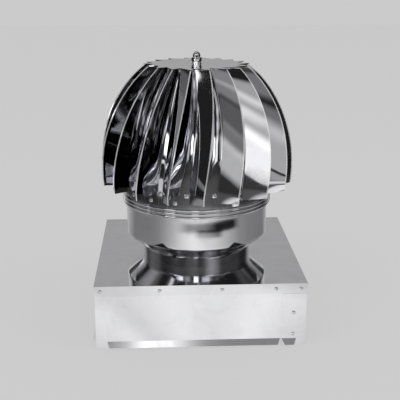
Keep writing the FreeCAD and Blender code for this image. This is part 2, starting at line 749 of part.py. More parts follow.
def make_cross():
    """A four-armed bracket with tabs bent up against the collar's inside."""
    body = doc.addObject("PartDesign::Body", "cross_sheet")
    half = "arm_width / 2"
    reach = "(sqrt((collar_radius - sheet_wall)^2 - (arm_width / 2)^2) - arm_gap)"
    plan = new_sketch(body, "XY_Plane", "cross_plan", above("cross_rise"))
    corners = []
    for sign_x, sign_y in ((1, 1), (-1, 1), (-1, -1), (1, -1)):
        x_sign = "" if sign_x > 0 else "-"
        y_sign = "" if sign_y > 0 else "-"
        arm_x = (x_sign + reach, y_sign + half)
        root = (x_sign + half, y_sign + half)
        arm_y = (x_sign + half, y_sign + reach)
        corners += [arm_x, root, arm_y] if sign_x * sign_y > 0 else [arm_y, root, arm_x]
    polygon(plan, corners)
    circle(plan, "0", "0", "cross_bore")
    pad(body, plan, "cross_wall")
    tab = new_sketch(body, "XY_Plane", "tab_plan", above("cross_rise"))
    edge = reach + " - cross_wall"
    polygon(tab, [(edge, "-" + half), (reach, "-" + half), (reach, half), (edge, half)])
    tab_pad = pad(body, tab, "arm_tab")
    doc.recompute()
    repeat_round(body, tab_pad, str(ARMS))
    drilled("cross_bracket", body, bolt_holes() + bracket_rivet_holes())
    grip = size("collar_radius") - size(edge)
    one = rivet(*[size(name) for name in ("rivet_radius", "rivet_head", "rivet_dome", "rivet_tail")],
                grip, size("tail_length"))
    group("bracket_rivets", [aimed(one, *place) for place in bracket_rivet_places()])


make_plate()
make_skirts()
make_base_rivets()
make_neck()
make_collar()
make_cross()
make_housing()
make_bolts()
make_bearing("lower", LOWER_SEAT)
make_bearing("upper", UPPER_SEAT)
make_ring()
make_blades()
make_ring_rivets()
make_disc()
make_hub()
make_shaft()

doc.recompute()
for item in doc.Objects:
    if "Invalid" in item.State or "Error" in item.State:
        raise RuntimeError("%s failed: %s" % (item.Name, item.State))
for item in PARTS:
    if item.Shape.isNull() or not item.Shape.isValid():
        raise RuntimeError("%s has no valid shape" % item.Label)

os.makedirs("parts", exist_ok=True)
for item in PARTS:
    item.Shape.exportStep("parts/%s.step" % item.Label)
print(len(PARTS), "parts")
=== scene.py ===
"""Looks of the rotating chimney cowl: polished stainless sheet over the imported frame.

Lengths in this file's tables are millimetres, as in the part's source. Meshes are made in metres.
Angles round the axis count from the front (-Y) towards +X.
"""
import math

import bmesh
import bpy
import numpy as np
from mathutils import Matrix, Vector, noise


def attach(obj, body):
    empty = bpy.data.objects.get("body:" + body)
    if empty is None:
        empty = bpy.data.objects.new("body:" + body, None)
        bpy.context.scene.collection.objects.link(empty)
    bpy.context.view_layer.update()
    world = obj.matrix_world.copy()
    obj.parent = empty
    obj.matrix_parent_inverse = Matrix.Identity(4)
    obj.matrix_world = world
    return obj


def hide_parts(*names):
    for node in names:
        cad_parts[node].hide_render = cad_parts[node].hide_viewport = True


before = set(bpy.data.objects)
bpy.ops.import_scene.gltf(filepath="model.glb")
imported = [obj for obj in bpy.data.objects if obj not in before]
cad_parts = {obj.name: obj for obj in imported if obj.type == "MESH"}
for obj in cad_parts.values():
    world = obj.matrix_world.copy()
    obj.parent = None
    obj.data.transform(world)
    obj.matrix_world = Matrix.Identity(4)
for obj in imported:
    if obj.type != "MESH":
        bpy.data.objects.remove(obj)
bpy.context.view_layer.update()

MM = 0.001

# Sizes that the sheets share with the solids, heights above the ground
HALF = 150.0
PLATE = 95.0
WALL = 0.8
NECK_RADIUS = 83.0
COLLAR_RADIUS = 108.0
RING_RADIUS = 111.0
RING_FOOT = PLATE + 81.0
RING_TOP = PLATE + 124.0
GIRTH_RADIUS = 145.0
GIRTH_HEIGHT = PLATE + 138.0
DOME_RISE = 177.0
DISC_TOP = PLATE + 289.0
BLADE_FOOT = PLATE + 112.0
BLADE_TOP = DISC_TOP - WALL
BLADE_COUNT = 18
PITCH = 360.0 / BLADE_COUNT
BLADE_START = 1.4
BLADE_TWIST = 10.0
BLADE_LAP = 5.0
FLARE_OFFSET = 20.0
FLARE_DROP = 6.0
SLOT_GAP = 10.0
SLOT_RISE = 60.0
LAP_CLEARANCE = 0.15
SEAT_GAP = 0.08
TAB_HALF_ANGLE = 4.5
TAB_LENGTH = 12.0


# Meshes

LATHE_STEPS = 216
SMOOTH_ANGLE = 35.0


def mesh_object(name, body, node, shape, material, smooth_angle=SMOOTH_ANGLE):
    """A smooth piece of (points, faces) in metres that rides on a body and stands for a node.

    Edges sharper than the angle stay sharp.
    """
    points, faces = shape
    mesh = bpy.data.meshes.new(name)
    mesh.from_pydata([tuple(point) for point in points], [], faces)
    mesh.validate()
    surface = bmesh.new()
    surface.from_mesh(mesh)
    bmesh.ops.recalc_face_normals(surface, faces=surface.faces)
    surface.to_mesh(mesh)
    surface.free()
    mesh.polygons.foreach_set("use_smooth", [True] * len(mesh.polygons))
    mesh.set_sharp_from_angle(angle=math.radians(smooth_angle))
    piece = bpy.data.objects.new(name, mesh)
    bpy.context.scene.collection.objects.link(piece)
    piece.data.materials.append(material)
    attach(piece, body)
    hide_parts(node)
    return piece


def loft_faces(rows, columns, closed_rows=False, closed_columns=True):
    """Quads over a grid of points stored row by row."""
    faces = []
    for row in range(rows if closed_rows else rows - 1):
        for column in range(columns if closed_columns else columns - 1):
            after = (column + 1) % columns
            below = (row + 1) % rows
            faces.append((row * columns + column, row * columns + after,
                          below * columns + after, below * columns + column))
    return faces


def around(turn, profile):
    """Points in metres of a (radius, height) profile at a turn about the axis in radians."""
    return [(radius * math.sin(turn) * MM, -radius * math.cos(turn) * MM, height * MM)
            for radius, height in profile]


def lathe(profile, steps=LATHE_STEPS):
    """Points and faces of a closed (radius, height) profile turned about the axis."""
    points = []
    for step in range(steps):
        points += around(2 * math.pi * step / steps, profile)
    return points, loft_faces(steps, len(profile), closed_rows=True)


def arc(centre, radius, start, end, steps):
    """Points of an arc in a section, angles in degrees."""
    points = []
    for step in range(steps + 1):
        angle = math.radians(start + (end - start) * step / steps)
        points.append((centre[0] + radius * math.cos(angle), centre[1] + radius * math.sin(angle)))
    return points


def radial(angle, radius, height):
    """Place at an angle in degrees round the axis."""
    turn = math.radians(angle)
    return Vector((radius * math.sin(turn), -radius * math.cos(turn), height))


# Materials

class Nodes:
    """Short ways to add and join the nodes of one shader."""

    def __init__(self, tree):
        self.tree = tree
        tree.nodes.clear()

    def add(self, kind, **values):
        """A new node; each value goes to the input of that name, or else to the node's setting."""
        node = self.tree.nodes.new(kind)
        for key, value in values.items():
            if key in node.inputs:
                node.inputs[key].default_value = value
            else:
                setattr(node, key, value)
        return node

    def link(self, source, target):
        self.tree.links.new(source, target)

    def math(self, operation, first, second=None, third=None, clamp=False):
        """One step of arithmetic on up to three terms, each one a number or a socket."""
        node = self.tree.nodes.new("ShaderNodeMath")
        node.operation = operation
        node.use_clamp = clamp
        for index, value in enumerate((first, second, third)):
            if value is None:
                continue
            if isinstance(value, (int, float)):
                node.inputs[index].default_value = value
            else:
                self.link(value, node.inputs[index])
        return node.outputs[0]

    def ramp(self, source, stops):
        """The level for a source's value, by (value, level) stops."""
        node = self.tree.nodes.new("ShaderNodeValToRGB")
        elements = node.color_ramp.elements
        while len(elements) < len(stops):
            elements.new(0.5)
        for element, (place, level) in zip(elements, sorted(stops)):
            element.position = place
            element.color = (level, level, level, 1.0)
        self.link(source, node.inputs["Fac"])
        return node.outputs["Color"]

    def mix(self, factor, first, second):
        """A blend of two colours, each one a socket or three levels."""
        node = self.tree.nodes.new("ShaderNodeMix")
        node.data_type = "RGBA"
        inputs = {socket.name: socket for socket in node.inputs if socket.enabled}
        self.link(factor, inputs["Factor"])
        for name, colour in (("A", first), ("B", second)):
            if isinstance(colour, tuple):
                inputs[name].default_value = (*colour, 1.0)
            else:
                self.link(colour, inputs[name])
        return next(socket for socket in node.outputs if socket.enabled)

    def noise(self, place, **values):
        """Noise at a place, with the texture's own inputs as values."""
        node = self.add("ShaderNodeTexNoise", **values)
        self.link(place, node.inputs["Vector"])
        return node.outputs["Fac"]

    def stretched(self, place, **values):
        """A place with its axes turned and scaled."""
        node = self.add("ShaderNodeMapping", **values)
        self.link(place, node.inputs["Vector"])
        return node.outputs[0]

    def bump(self, height, strength, depth, normal=None):
        """The normal of a surface that a height from 0 to 1 lifts by up to a depth in mm."""
        node = self.add("ShaderNodeBump", Strength=strength, Distance=depth * MM)
        self.link(height, node.inputs["Height"])
        if normal is not None:
            self.link(normal, node.inputs["Normal"])
        return node.outputs[0]

    def switch(self, factor, first, second):
        """The first shader where the factor is zero, the second where it is one."""
        node = self.add("ShaderNodeMixShader")
        self.link(factor, node.inputs["Fac"])
        self.link(first, node.inputs[1])
        self.link(second, node.inputs[2])
        return node.outputs[0]


SCRATCH_DIRECTIONS = (((0.3, 0.2, 0.9), (9.0, 60.0, 5.0)), ((1.1, 0.7, 0.2), (50.0, 7.0, 8.0)))
SCRATCH_WIDTH = 0.012
SCRATCH_ROUGHNESS = 0.11
SCRATCH_PALENESS = 0.25
PATCH_STOPS = [(0.5, 0.0), (0.68, 1.0)]
MARK_STOPS = [(0.45, 0.0), (0.75, 1.0)]
MARK_DARKNESS = 0.9
PALE_SHARE = 1.08
# painted highlight: the blades' free edge is made near-white and partly non-metallic so it shows as a bright
# line
RIM_HIGHLIGHT_COLOUR = (0.97, 0.97, 0.97)
RIM_HIGHLIGHT_METAL_LOSS = 0.6


def dished_normal(net, lean):
    """The sheet's normal, turned about the upright axis by the flare's share of the lean in degrees."""
    node = net.add("ShaderNodeVectorRotate", rotation_type="Z_AXIS")
    net.link(net.add("ShaderNodeNewGeometry").outputs["Normal"], node.inputs["Vector"])
    share = net.add("ShaderNodeAttribute", attribute_name="dish").outputs["Fac"]
    net.link(net.math("MULTIPLY", share, math.radians(lean)), node.inputs["Angle"])
    return node.outputs[0]


def scratch_level(net, place):
    """Hairline scratches in patches: thin borders of cells that are stretched in two directions."""
    levels = []
    for turn, reach in SCRATCH_DIRECTIONS:
        cells = net.add("ShaderNodeTexVoronoi", feature="DISTANCE_TO_EDGE", Scale=1.0)
        net.link(net.stretched(place, Rotation=turn, Scale=reach), cells.inputs["Vector"])
        levels.append(net.ramp(cells.outputs["Distance"], [(0.0, 1.0), (SCRATCH_WIDTH, 0.0)]))
    patches = net.ramp(net.noise(place, Scale=9.0, Detail=2.0), PATCH_STOPS)
    return net.math("MULTIPLY", net.math("MAXIMUM", *levels), patches)


def steel(name, colour, roughness, wave=0.2, wave_scale=14.0, grain=(1.0, 1.0, 30.0), grain_depth=0.002,
          smudge=0.05, lean=None):
    """Polished or satin stainless: shallow waves, rolling grain, smudges and hairline scratches.

    wave and grain_depth are in mm, and grain is how the grain is squeezed along each axis.
    lean gives the degrees by which the flare's share of the sheet is dished round the upright axis;
    such a sheet also has a painted highlight along its free edge: a near-white, less metallic rim.
    """
    material = bpy.data.materials.new(name)
    material.use_nodes = True
    net = Nodes(material.node_tree)
    place = net.add("ShaderNodeTexCoord").outputs["Object"]
    shader = net.add("ShaderNodeBsdfPrincipled", Metallic=1.0, Anisotropic=0.25)
    output = net.add("ShaderNodeOutputMaterial")
    net.link(shader.outputs[0], output.inputs["Surface"])

    # broad waves of thin sheet bend the reflections, and the grain lies over them
    waves = net.noise(place, Scale=wave_scale, Detail=1.5, Roughness=0.4)
    waved = net.bump(waves, 1.0, wave, dished_normal(net, lean) if lean else None)
    lines = net.noise(net.stretched(place, Scale=grain), Scale=60.0, Detail=4.0, Roughness=0.6)
    net.link(net.bump(lines, 0.6, grain_depth, waved), shader.inputs["Normal"])

    # smudges, dried water marks and scratches lift the roughness here and there
    marks = net.noise(place, Scale=22.0, Detail=6.0, Roughness=0.65, Distortion=0.6)
    mark_level = net.ramp(marks, MARK_STOPS)
    scratches = scratch_level(net, place)
    rough = net.math("MULTIPLY_ADD", mark_level, smudge, roughness)
    rough = net.math("MULTIPLY_ADD", scratches, SCRATCH_ROUGHNESS, rough, clamp=True)
    net.link(rough, shader.inputs["Roughness"])

    darker = tuple(MARK_DARKNESS * level for level in colour)
    paler = tuple(min(1.0, PALE_SHARE * level) for level in colour)
    shade = net.mix(mark_level, colour, darker)
    shade = net.mix(net.math("MULTIPLY", scratches, SCRATCH_PALENESS), shade, paler)
    if lean:
        # painted highlight along the free edge: the rim turns near-white and loses metal
        rim = net.add("ShaderNodeAttribute", attribute_name="rim").outputs["Fac"]
        net.link(net.math("MULTIPLY_ADD", rim, -RIM_HIGHLIGHT_METAL_LOSS, 1.0), shader.inputs["Metallic"])
        shade = net.mix(rim, shade, RIM_HIGHLIGHT_COLOUR)
    net.link(shade, shader.inputs["Base Color"])
    return material


BLADE_STEEL = steel("blade_polished", (0.83, 0.83, 0.86), 0.035, wave=0.4, wave_scale=10.0, lean=22.0)
RING_STEEL = steel("ring_polished", (0.82, 0.82, 0.85), 0.05, wave=0.15)
# painted shade: the neck's base colour is darkened to stand for the shade under the collar
NECK_SHADED_STEEL = steel("neck_painted_shade", (0.52, 0.52, 0.55), 0.22, grain=(1.0, 1.0, 40.0))
COLLAR_STEEL = steel("collar_polished", (0.82, 0.82, 0.85), 0.05, grain=(1.0, 1.0, 40.0))
PLATE_STEEL = steel("plate_polished", (0.80, 0.80, 0.82), 0.06, wave=0.3, wave_scale=8.0,
                    grain=(30.0, 1.0, 1.0))
SKIRT_STEEL = steel("skirt_polished", (0.84, 0.84, 0.86), 0.09, wave=0.3, wave_scale=8.0)
DISC_STEEL = steel("disc_polished", (0.80, 0.80, 0.82), 0.10, grain=(20.0, 1.0, 1.0))
RIVET_STEEL = steel("rivet_bright", (0.76, 0.76, 0.78), 0.16, wave=0.0, smudge=0.1)
NUT_STEEL = steel("nut_polished", (0.92, 0.92, 0.93), 0.08, wave=0.0, smudge=0.06)
BRACKET_STEEL = steel("bracket_satin", (0.62, 0.62, 0.64), 0.30, wave=0.1, grain=(1.0, 30.0, 1.0),
                      grain_depth=0.01, smudge=0.12)
BOLT_STEEL = steel("bolt_plain", (0.60, 0.61, 0.63), 0.28, wave=0.0, smudge=0.15)
SHAFT_STEEL = steel("shaft_turned", (0.66, 0.66, 0.68), 0.18, wave=0.0, grain=(1.0, 1.0, 80.0),
                    grain_depth=0.006)
BEARING_STEEL = steel("bearing_ground", (0.70, 0.70, 0.73), 0.14, wave=0.0, grain=(1.0, 1.0, 60.0))


# Blades

def dome_share(height):
    """How far the ellipsoid reaches at a height, as a share of its girth."""
    return math.sqrt(max(0.0, 1 - ((height - GIRTH_HEIGHT) / DOME_RISE) ** 2))


def crease_radius(height):
    return (RING_RADIUS + 2 * WALL + 2 * LAP_CLEARANCE) * dome_share(max(height, GIRTH_HEIGHT))


def smooth_step(value):
    value = min(1.0, max(0.0, value))
    return value * value * (3 - 2 * value)


def slot_depth(height):
    """Radial step from the crease to the next blade's hidden edge: none at the ring, then a slot."""
    return WALL + LAP_CLEARANCE + SLOT_GAP * smooth_step((height - RING_TOP) / SLOT_RISE)


def crease_turn(height):
    """Angle from a blade's crease to its free edge, which lies ahead of it."""
    middle = (GIRTH_RADIUS * dome_share(height) + crease_radius(height)) / 2
    return math.degrees(FLARE_OFFSET / middle)


def free_edge_turn(height):
    """How far the blade has leaned round the axis at a height: it starts above the ring."""
    return BLADE_TWIST * max(0.0, height - RING_TOP) / (BLADE_TOP - RING_TOP)


# The main sheet steps inwards behind the lap, along a curve through these shares of the pitch
LAP_SHARE = BLADE_LAP / PITCH
DROP_SHARES = np.array([0.0, 0.25, 0.5, 0.75, 1.0, 1.25])
DROPS = np.clip((DROP_SHARES - LAP_SHARE) / (1 - LAP_SHARE), 0, 1)


def natural_spline(places, values):
    """Second derivatives of the natural cubic spline through evenly spaced points."""
    count = len(places)
    step = places[1] - places[0]
    matrix = np.eye(count)
    right = np.zeros(count)
    for k in range(1, count - 1):
        matrix[k, k - 1:k + 2] = (1, 4, 1)
        right[k] = 6 * (values[k - 1] - 2 * values[k] + values[k + 1]) / step ** 2
    return np.linalg.solve(matrix, right)


DROP_BENDS = natural_spline(DROP_SHARES, DROPS)


def drop_at(share):
    """The spline's value at a share of the pitch."""
    step = DROP_SHARES[1] - DROP_SHARES[0]
    k = int(min(len(DROP_SHARES) - 2, max(0, share // step)))
    before = (DROP_SHARES[k + 1] - share) / step
    after = 1 - before
    bend = (before ** 3 - before) * DROP_BENDS[k] + (after ** 3 - after) * DROP_BENDS[k + 1]
    return before * DROPS[k] + after * DROPS[k + 1] + bend * step ** 2 / 6


def main_radius(height, share):
    return crease_radius(height) - slot_depth(height) * drop_at(share)


FLARE_STEPS = 10
BEND_STEPS = 5
MAIN_STEPS = 22
BEND_RADIUS = 2.2
NEAR_CREASE = 0.5
HEM_WIDTH = 4.0
HEM_WALL = 1.5
HEM_ROUND = 1.0
HEM_REACHES = (0.0, 0.4, 1.0, 2.0, HEM_WIDTH)
FLARE_COLUMNS = len(HEM_REACHES) + FLARE_STEPS + BEND_STEPS
FOOT_ROWS = 4
SLOT_ROWS = 20
DOME_ROWS = 30


def blade_outline(height):
    """Outer side of the blade's section at a height: flare, rounded crease and main sheet."""
    start = free_edge_turn(height)
    crease = start - crease_turn(height)
    free = radial(start, GIRTH_RADIUS * dome_share(height), height)
    fold = radial(crease, crease_radius(height), height)
    ahead = radial(crease - NEAR_CREASE, main_radius(height, NEAR_CREASE / PITCH), height)
    along_flare = (free - fold).normalized()
    along_main = (ahead - fold).normalized()
    half_turn = (math.pi - along_flare.angle(along_main)) / 2
    setback = BEND_RADIUS * math.tan(half_turn)
    bend_start = fold + along_flare * setback
    bend_end = fold + along_main * setback
    flare = bend_start - free
    length = flare.length
    reaches = list(HEM_REACHES)
    reaches += [HEM_WIDTH + (length - HEM_WIDTH) * step / FLARE_STEPS for step in range(1, FLARE_STEPS)]
    points = [free + flare * (reach / length) for reach in reaches]
    for step in range(BEND_STEPS + 1):
        share = step / BEND_STEPS
        points.append(bend_start * (1 - share) ** 2 + fold * 2 * share * (1 - share) + bend_end * share ** 2)
    first = math.degrees(setback / crease_radius(height))
    span = PITCH + BLADE_LAP
    for step in range(1, MAIN_STEPS + 1):
        turn = first + (span - first) * step / MAIN_STEPS
        points.append(radial(crease - turn, main_radius(height, turn / PITCH), height))
    return points


def blade_walls(count):
    """Thickness of the sheet at each point of the outline: a flattened hem along the free edge."""
    hem = [HEM_WALL * math.sqrt(1 - (1 - min(1.0, reach / HEM_ROUND)) ** 2) for reach in HEM_REACHES[:-1]]
    return hem + [WALL] * (count - len(hem))


def section_loop(outline):
    """Closed section: the outer side, then the inner side backwards."""
    walls = blade_walls(len(outline))
    inner = []
    for index, point in enumerate(outline):
        before = outline[max(0, index - 1)]
        after = outline[min(len(outline) - 1, index + 1)]
        way = (after - before).normalized()
        inner.append(point + Vector((way.y, -way.x, 0)) * walls[index])
    return outline + list(reversed(inner))


def foot_heights(outline):
    """Foot of the sheet at each point: level under the main, down to the crease under the flare."""
    feet = []
    length = (outline[FLARE_COLUMNS - 1] - outline[0]).length
    for index, point in enumerate(outline):
        reach = (point - outline[0]).length / length
        feet.append(BLADE_FOOT - FLARE_DROP * reach if index < FLARE_COLUMNS else BLADE_FOOT)
    return feet


def blade_mesh():
    """One blade's sheet as rows of closed sections; the rows in the ring follow the slanted foot."""
    feet = foot_heights(blade_outline(BLADE_FOOT))
    open_slot = RING_TOP + SLOT_RISE
    rows = [[foot + (RING_TOP - foot) * k / FOOT_ROWS for foot in feet] for k in range(FOOT_ROWS)]
    levels = [RING_TOP + SLOT_RISE * k / SLOT_ROWS for k in range(SLOT_ROWS)]
    levels += [open_slot + (BLADE_TOP - open_slot) * math.sin(math.radians(90 * k / DOME_ROWS))
               for k in range(DOME_ROWS + 1)]
    rows += [[level] * len(feet) for level in levels]
    points = []
    for row in rows:
        loops = {height: section_loop(blade_outline(height)) for height in set(row)}
        points += [loops[height][column] for column, height in enumerate(row)]
        points += [loops[height][-1 - column] for column, height in reversed(list(enumerate(row)))]
    columns = 2 * len(feet)
    faces = loft_faces(len(rows), columns)
    for row in (0, len(rows) - 1):
        first = row * columns
        for k in range(len(feet) - 1):
            faces.append((first + k, first + k + 1, first + columns - 2 - k, first + columns - 1 - k))
    return points, faces


def top_tab():
    """The tab folded inwards under the top disc, as eight corners and their faces."""
    middle = free_edge_turn(BLADE_TOP) - crease_turn(BLADE_TOP) - PITCH / 2
    edge = main_radius(BLADE_TOP, 0.5) - WALL / 2
    corners = []
    for height in (BLADE_TOP - WALL, BLADE_TOP):
        for side, radius in ((-1, edge), (1, edge), (1, edge - TAB_LENGTH), (-1, edge - TAB_LENGTH)):
            corners.append(radial(middle + side * TAB_HALF_ANGLE, radius, height))
    faces = [(0, 1, 2, 3), (4, 5, 6, 7), (0, 1, 5, 4), (1, 2, 6, 5), (2, 3, 7, 6), (3, 0, 4, 7)]
    return corners, faces


def paint_shares(sheet, name, full, fade):
    """Gives each point of a blade a share: one up to the full column of its outline, zero after the fade."""
    count = len(sheet.data.vertices)
    columns = range(FLARE_COLUMNS + MAIN_STEPS)
    side = [1.0 - min(1.0, max(0.0, (column - full) / fade)) for column in columns]
    row = side + side[::-1]
    shares = row * (count // len(row))
    shares += [0.0] * (count - len(shares))
    sheet.data.attributes.new(name, "FLOAT", "POINT").data.foreach_set("value", shares)


# Each blade lies in its own shallow waves, which fade out towards the ring and the disc
SWAY_DEPTH = 0.45
SWAY_SCALE = 0.016
SWAY_SHIFT = 3.1
SWAY_START = 6
SWAY_FOOT_FADE = 40
SWAY_TOP_FADE = 25
# columns from the free edge that carry the painted highlight
RIM_HIGHLIGHT_COLUMNS = 2


def swayed(place, index):
    """A point of a blade moved in or out by that blade's waves."""
    rising = smooth_step((place.z - RING_TOP - SWAY_START) / SWAY_FOOT_FADE)
    free = rising * smooth_step((BLADE_TOP - place.z) / SWAY_TOP_FADE)
    sway = noise.noise(Vector((place.x, place.y, place.z)) * SWAY_SCALE + Vector((index * SWAY_SHIFT, 0, 0)))
    out = Vector((place.x, place.y, 0)).normalized()
    return place + out * (SWAY_DEPTH * sway * free)


def make_blades():
    points, faces = blade_mesh()
    corners, tab_faces = top_tab()
    faces = faces + [tuple(len(points) + k for k in face) for face in tab_faces]
    points = points + corners
    for index in range(BLADE_COUNT):
        turn = Matrix.Rotation(math.radians(BLADE_START + PITCH * index), 3, "Z")
        moved = [swayed(turn @ point, index) * MM for point in points]
        number = index + 1
        sheet = mesh_object("blade_sheet_%02d" % number, "rotor", "blade_%02d" % number, (moved, faces),
                            BLADE_STEEL)
        paint_shares(sheet, "dish", FLARE_COLUMNS - BEND_STEPS, BEND_STEPS)
        # painted highlight on the free edge's rim
        paint_shares(sheet, "rim", RIM_HIGHLIGHT_COLUMNS, 1)


# Ring, collar and neck

BEAD_COUNT = 3
BEAD_RADIUS = 2.0
BEAD_PITCH = 5.2
BEAD_EDGE = 4.5
BEADS_TOP = 22.0
BEAD_STEPS = 14
GROOVE_STEPS = 10
EDGE_ROUND = 0.2


def ring_profile():
    """Half section of the beaded ring: outer side up, then inner side down."""
    bore = RING_RADIUS - WALL
    outer = [(RING_RADIUS - EDGE_ROUND, RING_FOOT), (RING_RADIUS, RING_FOOT + EDGE_ROUND)]
    inner = [(bore, RING_FOOT)]
    for k in range(BEAD_COUNT):
        height = RING_FOOT + BEAD_EDGE + k * BEAD_PITCH
        outer += arc((RING_RADIUS, height), BEAD_RADIUS, -90, 90, BEAD_STEPS)
        inner += arc((bore, height), BEAD_RADIUS - WALL, -90, 90, GROOVE_STEPS)
    plain = RING_FOOT + BEADS_TOP
    outer += [(RING_RADIUS, plain), (RING_RADIUS, RING_TOP - EDGE_ROUND),
              (RING_RADIUS - EDGE_ROUND, RING_TOP)]
    inner += [(bore, plain), (bore, RING_TOP)]
    return outer + list(reversed(inner))


def make_ring():
    mesh_object("beaded_ring", "rotor", "rotor_ring", lathe(ring_profile()), RING_STEEL)


def rounded_corner(corner, before, after, set_back):
    """Points along a soft bend at the corner, between the way in and the way out."""
    corner = Vector(corner)
    start = corner - before * set_back
    end = corner + after * set_back
    return [tuple(start * (1 - share) ** 2 + corner * 2 * share * (1 - share) + end * share ** 2)
            for share in (0, 0.2, 0.4, 0.6, 0.8, 1)]


COLLAR_FOOT = PLATE + 13.0
COLLAR_GRIP = 2.0
COLLAR_TAPER = 20.0
COLLAR_MIDDLE = PLATE + 45.0
COLLAR_TOP = PLATE + 98.0
COLLAR_ROUND = 0.25
FOOT_BEND = 0.8
SHOULDER_BEND = 1.6


def collar_profile():
    """Half section of the collar, which closes on the neck at its foot: outside up, then inside down."""
    outer = NECK_RADIUS + WALL
    inner = COLLAR_RADIUS - WALL
    lower = (outer, COLLAR_FOOT + COLLAR_GRIP)
    upper = (COLLAR_RADIUS, COLLAR_FOOT + COLLAR_GRIP + COLLAR_TAPER)
    up = Vector((0, 1))
    way = Vector((upper[0] - lower[0], upper[1] - lower[1])).normalized()
    outside = [(outer - COLLAR_ROUND, COLLAR_FOOT), (outer, COLLAR_FOOT + COLLAR_ROUND)]
    outside += rounded_corner(lower, up, way, FOOT_BEND) + rounded_corner(upper, way, up, SHOULDER_BEND)
    outside += [(COLLAR_RADIUS, COLLAR_MIDDLE), (COLLAR_RADIUS, COLLAR_TOP - COLLAR_ROUND),
                (COLLAR_RADIUS - COLLAR_ROUND, COLLAR_TOP)]
    inside = [(NECK_RADIUS, COLLAR_FOOT), (NECK_RADIUS, lower[1] + WALL / 2),
              (inner, upper[1] + WALL / 2), (inner, COLLAR_MIDDLE), (inner, COLLAR_TOP)]
    return outside + list(reversed(inside))


def make_collar():
    mesh_object("collar_sheet", "base", "neck_collar", lathe(collar_profile()), COLLAR_STEEL)


NECK_LIP = 6.0
NECK_MIDDLE = PLATE + 20.0
NECK_TOP = PLATE + 55.0


def neck_profile():
    """Half section of the neck with its lip under the plate: outside up, then inside down."""
    bore = NECK_RADIUS - WALL
    lip = NECK_RADIUS + NECK_LIP
    return [(bore, PLATE - 2 * WALL), (lip, PLATE - 2 * WALL), (lip, PLATE - WALL),
            (NECK_RADIUS, PLATE - WALL), (NECK_RADIUS, NECK_MIDDLE), (NECK_RADIUS, NECK_TOP - EDGE_ROUND),
            (NECK_RADIUS - EDGE_ROUND, NECK_TOP), (bore, NECK_TOP), (bore, NECK_MIDDLE)]


def make_neck():
    mesh_object("neck_tube", "base", "neck_pipe", lathe(neck_profile()), NECK_SHADED_STEEL)


# Rivets

# radius of the head, its rise and the radius of the tail
SMALL_RIVET = (3.1, 1.0, 2.3)
LARGE_RIVET = (3.5, 1.3, 2.8)
TAIL_LENGTH = 1.6
TAIL_CONE = 0.3
TAIL_ROUND = 0.7
TAIL_TAPER = 0.8
HEAD_STEPS = 28
DOME_STEPS = 8
TAIL_STEPS = 20
RIVET_ANGLE = 40.0
HOLE_SHARE = 0.42
HEAD_SINK = 0.05
HEAD_FOOT = ((-0.15, -HEAD_SINK), (0.0, 0.08))
LEAST_RISE = 0.12

# the hole and the mandrel's end inside it: shares of the hole's radius, and depths below its rim
MANDREL_END = ((0.93, 0.05), (0.9, 0.2), (0.86, 0.62), (0.7, 0.62), (0.66, 0.5), (0.3, 0.45), (0.0, 0.44))

FLANGE_ROW = PLATE - 8.0
FLANGE_PLACES = (-141.5, -58.5, 29.0, 105.0, 140.5)
SEAM_PLACE = 131.0
SEAM_HEIGHTS = (50.5, 17.5)
BRACKET_ROW = PLATE + 91.0
BRACKET_WALL = 3.0
ARM_GAP = 0.05
ARMS = 4
LOWER_ROW = PLATE + 106.0
UPPER_ROW = PLATE + 118.0


def rivet_profile(head, dome):
    """Half section of a blind rivet's head: dome, rim round the hole, mandrel end inside."""
    cap = (head ** 2 + dome ** 2) / (2 * dome)
    hole = HOLE_SHARE * head
    rim = math.degrees(math.asin(hole / cap))
    edge = math.degrees(math.asin(head / cap))
    profile = [(head + step_out, height) for step_out, height in HEAD_FOOT]
    for k in range(DOME_STEPS + 1):
        angle = math.radians(edge - (edge - rim) * k / DOME_STEPS)
        rise = max(LEAST_RISE, dome - cap + cap * math.cos(angle))
        profile.append((min(head, cap * math.sin(angle)), rise))
    top = profile[-1][1]
    return profile + [(hole * share, top - depth) for share, depth in MANDREL_END]


def turn_on(points, faces, place, outward, profile, steps):
    """Adds a profile turned about a rivet's axis, and returns the number of its first point."""
    first = len(points)
    turn = Vector((0, 0, 1)).rotation_difference(outward)
    for step in range(steps):
        angle = 2 * math.pi * step / steps
        for radius, height in profile:
            local = Vector((radius * math.cos(angle), radius * math.sin(angle), height))
            points.append((place + turn @ local) * MM)
    faces += [tuple(first + k for k in face) for face in loft_faces(steps, len(profile), True, False)]
    return first


def add_heads(points, faces, places, head, dome):
    """A rivet head at each (place, outward) pair, closed by a tip and a point under it."""
    profile = rivet_profile(head, dome)
    columns = len(profile) - 1
    for place, outward in places:
        first = turn_on(points, faces, place, outward, profile[:-1], HEAD_STEPS)
        turn = Vector((0, 0, 1)).rotation_difference(outward)
        tip = len(points)
        points.append((place + turn @ Vector((0, 0, profile[-1][1]))) * MM)
        points.append((place + turn @ Vector((0, 0, -HEAD_SINK))) * MM)
        for step in range(HEAD_STEPS):
            here = first + step * columns
            after = first + (step + 1) % HEAD_STEPS * columns
            faces.append((here + columns - 1, after + columns - 1, tip))
            faces.append((here, after, tip + 1))


def add_tails(points, faces, places, grip, tail):
    """The set ends of the blind rivets behind the sheets."""
    profile = [(tail * TAIL_TAPER, -grip), (tail, -grip - TAIL_CONE),
               (tail, -grip - TAIL_LENGTH * TAIL_ROUND), (tail * TAIL_TAPER, -grip - TAIL_LENGTH)]
    for place, outward in places:
        first = turn_on(points, faces, place, outward, profile, TAIL_STEPS)
        for index in (0, len(profile) - 1):
            faces.append(tuple(first + step * len(profile) + index for step in range(TAIL_STEPS)))


